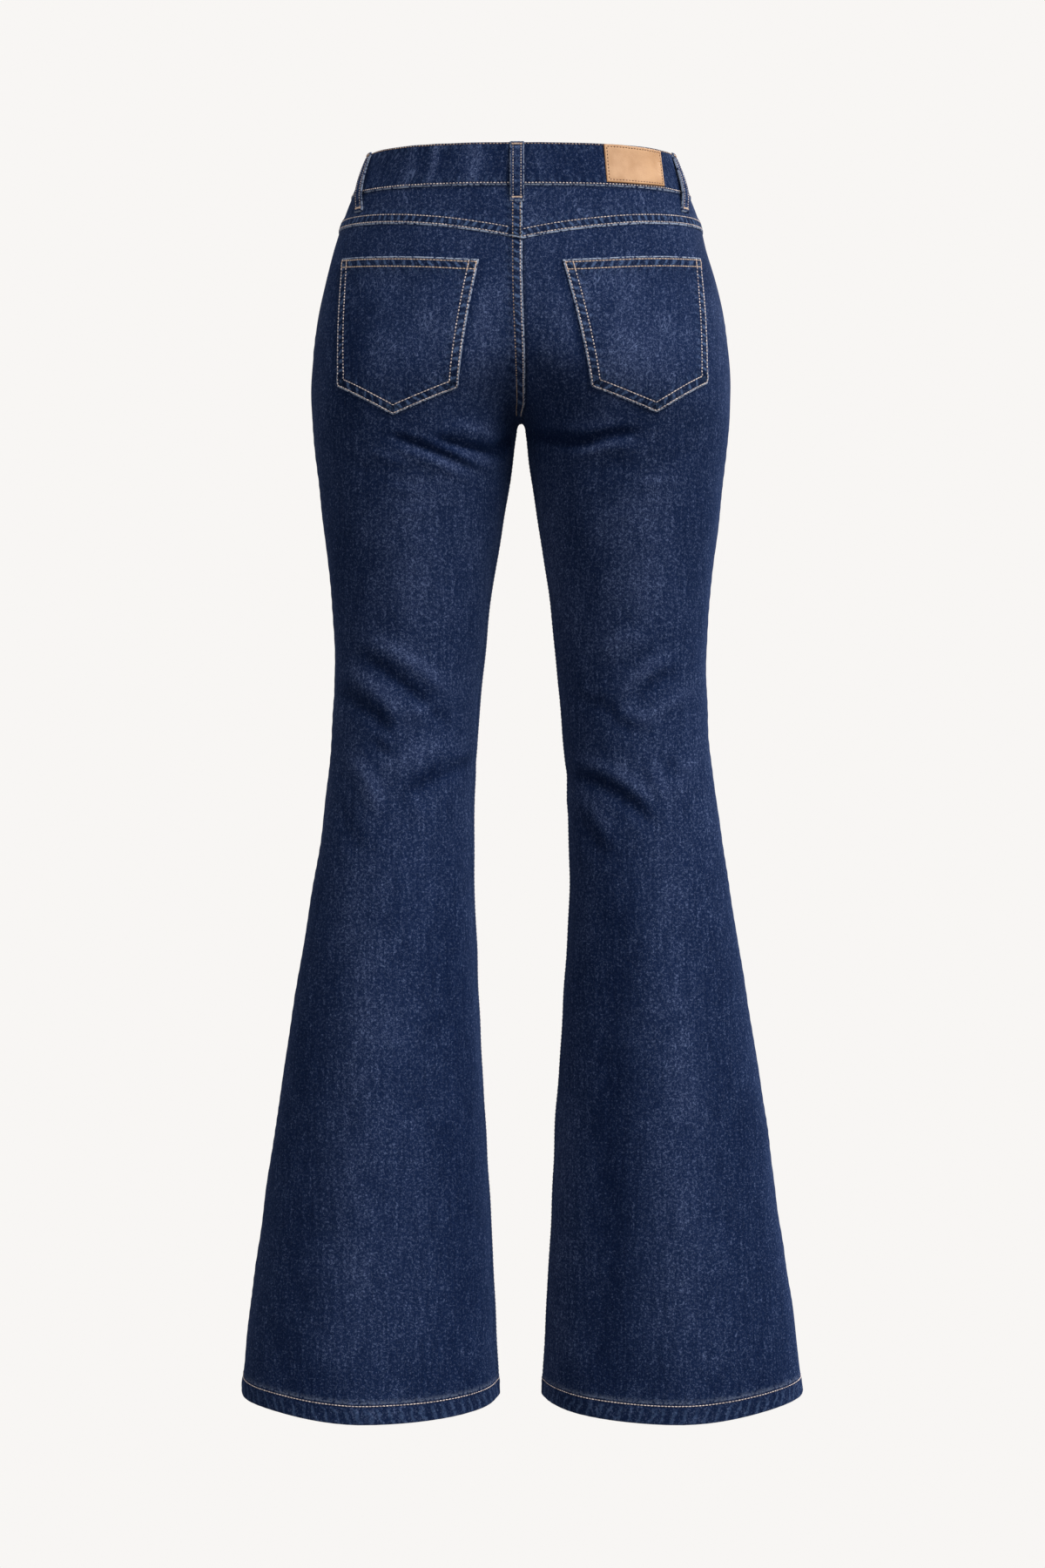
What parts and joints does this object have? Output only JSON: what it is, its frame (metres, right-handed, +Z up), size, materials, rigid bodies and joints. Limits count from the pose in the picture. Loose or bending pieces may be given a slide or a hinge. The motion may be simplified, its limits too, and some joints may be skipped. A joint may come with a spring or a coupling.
{
  "type": "flared jeans",
  "caption": "Filled-out flared denim jeans, hollow and open at the waist and hems, with yoke, pockets, belt loops, leather patch and a buttoned fly.",
  "frame": {"origin": "middle of the waist opening, about 3 mm above the waistband's top edge at the side seams, where the wearer's waist holds the garment", "axes": "+Z up along the body, +Y out of the back, -Y out of the front, +X to the wearer's left"},
  "size_m": [0.486, 0.2394, 1.0839],
  "materials": {
    "denim": "dark indigo twill denim, lightly worn, with pale flecks and sand-coloured topstitching",
    "leather_patch": "smooth tan leather, matt, stitched round its edge",
    "button_metal": "antiqued brass, satin",
    "zip_tape": "dark navy woven tape, matt"
  },
  "bodies": {
    "root": {"waistband": "denim", "back_panel_left": "denim", "front_panel_left": "denim", "back_yoke_left": "denim", "back_pocket_left": "denim", "front_pocket_facing_left": "denim", "back_panel_right": "denim", "front_panel_right": "denim", "back_yoke_right": "denim", "back_pocket_right": "denim", "front_pocket_facing_right": "denim", "belt_loop_centre_back": "denim", "belt_loop_side_left": "denim", "belt_loop_side_right": "denim", "belt_loop_front_left": "denim", "belt_loop_front_right": "denim", "fly_shield": "denim", "leather_patch": "leather_patch", "fly_zip_tape": "zip_tape", "waist_button": "button_metal"}
  },
  "joints": []
}
